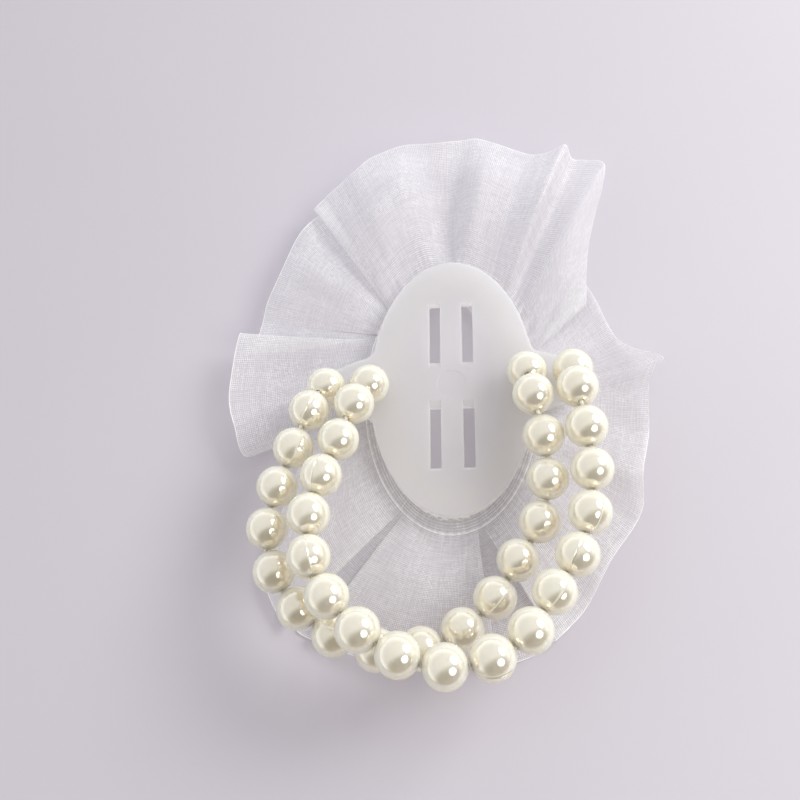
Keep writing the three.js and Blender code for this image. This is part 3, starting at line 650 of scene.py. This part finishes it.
# The mould line of these beads is turned towards the camera, so many degrees to one side. The
# other beads have theirs on the far side, each at another angle.
MOULD_LINE_TURN = {
    "pearl_a_04": 24, "pearl_a_06": -8, "pearl_a_11": 38, "pearl_a_13": 2, "pearl_a_14": -22,
    "pearl_a_15": 16, "pearl_b_02": 6, "pearl_b_03": -14, "pearl_b_08": -30, "pearl_b_12": 4,
}
spins = {joint["child"]: joint for joint in frame["joints"] if joint.get("continuous")}
for number, name in enumerate(sorted(spins)):
    bore = Vector(spins[name]["axis"]).normalized()
    facing = (toward_camera - bore * toward_camera.dot(bore)).normalized()
    far_side = 110 + 37 * number % 140
    turned = math.radians(MOULD_LINE_TURN.get(name, far_side))
    basis = Matrix((facing.cross(bore), facing, bore)).transposed().to_4x4()
    pose = Matrix.Translation(spins[name]["pos_m"]) @ basis @ Matrix.Rotation(turned, 4, "Z")
    pearl = bpy.data.objects.new(name.replace("pearl", "bead"), bead.data.copy())
    bpy.context.collection.objects.link(pearl)
    pearl.data.transform(pose)
    pearl.data.materials.append(nacre)
    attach(pearl, name)
    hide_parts(name)
bpy.data.objects.remove(bead)


# Elastic strands: the same cord as the ties, from ear to ear through the pearls. It runs straight
# through each bore and bends only between the pearls.
BORE_HALF = 3.95 * MM
for letter in "ab":
    strand_route = []
    for name in sorted(spins):
        if name.startswith(f"pearl_{letter}"):
            bore = Vector(spins[name]["axis"]) * BORE_HALF
            middle = Vector(spins[name]["pos_m"])
            strand_route += [middle - bore, middle + bore]
    strand = cord_piece(f"strand_cord_{letter}", strand_route)
    strand.data.materials.append(elastic)
    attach(strand, "pearl_loop")
    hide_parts(f"elastic_strand_{letter}")


# Table: a plain pale board that the corsage lies on, painted matt with a faint, uneven tone. It
# isn't part of the object.
TABLE_WIDTH = 3
TONES_PER_METRE = 12
bpy.ops.mesh.primitive_plane_add(size=TABLE_WIDTH, location=(0, 0, TABLE_LEVEL))
table = bpy.context.object
table.name = "table"
board, shader = new_material("pale_board", {
    "Roughness": 0.65, "IOR": 1.45, "Specular IOR Level": 0.25})
place = add_node(board, "ShaderNodeTexCoord", {}, {}).outputs["Object"]
tone = add_node(board, "ShaderNodeTexNoise", {}, {
    "Vector": place, "Scale": TONES_PER_METRE, "Detail": 5})
board_colour = add_node(board, "ShaderNodeMix", {"data_type": "RGBA"}, {
    0: tone.outputs["Fac"], 6: linear("D7D2D9"), 7: linear("D2CDD4")})
link(board, board_colour.outputs[2], shader, "Base Color")
table.data.materials.append(board)
table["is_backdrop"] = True


# Light: two softboxes to the right of the camera, one above the other. Each has its direction
# along the camera's right, up and back axes, its power in watts, and its width and height in metres.
SOFTBOXES = [
    ("softbox_upper", (0.63, 0.56, 0.535), 1.6, 0.34, 0.25),
    ("softbox_lower", (0.517, -0.172, 0.837), 0.6, 0.31, 0.31)]
SOFTBOX_DISTANCE = 0.55
for name, direction, power, width, height in SOFTBOXES:
    toward = (camera_axes @ Vector(direction)).normalized()
    bpy.ops.object.light_add(type="AREA", location=toward * SOFTBOX_DISTANCE)
    softbox = bpy.context.object
    softbox.name = name
    softbox.data.shape = "ELLIPSE"
    softbox.data.size = width
    softbox.data.size_y = height
    softbox.data.energy = power
    softbox.rotation_mode = "QUATERNION"
    softbox.rotation_quaternion = (-toward).to_track_quat("-Z", "Y")

# Room: pale all round, with its one dark side below and behind the camera, in the same axes. Its
# walls are brighter than its ceiling.
DARK_DIRECTION = Vector((0.35, -0.72, 0.6)).normalized()
DARK_STARTS, DARK_FULL = 0.25, 0.75
WALL_STRENGTH, CEILING_STRENGTH = 1.4, 0.86
CEILING_STARTS = 0.6
room = bpy.data.worlds.new("room")
bpy.context.scene.world = room
room.use_nodes = True
sky = room.node_tree.nodes["Background"]
outlook = add_node(room, "ShaderNodeTexCoord", {}, {}).outputs["Generated"]
darkward = add_node(room, "ShaderNodeVectorMath", {"operation": "DOT_PRODUCT"}, {
    0: outlook, 1: camera_axes @ DARK_DIRECTION})
darkness = add_node(room, "ShaderNodeMapRange", {"interpolation_type": "SMOOTHSTEP"}, {
    "Value": darkward.outputs["Value"], "From Min": DARK_STARTS, "From Max": DARK_FULL})
room_colour = add_node(room, "ShaderNodeMix", {"data_type": "RGBA"}, {
    0: darkness.outputs["Result"], 6: linear("F1F2F8"), 7: linear("8E8478")})
link(room, room_colour.outputs[2], sky, "Color")
elevation = add_node(room, "ShaderNodeSeparateXYZ", {}, {"Vector": outlook})
wall_light = add_node(room, "ShaderNodeMapRange", {"interpolation_type": "SMOOTHSTEP"}, {
    "Value": elevation.outputs["Z"], "From Min": 0, "From Max": CEILING_STARTS,
    "To Min": WALL_STRENGTH, "To Max": CEILING_STRENGTH})
link(room, wall_light.outputs["Result"], sky, "Strength")
bpy.context.scene.view_settings.view_transform = "Standard"

low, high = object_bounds()
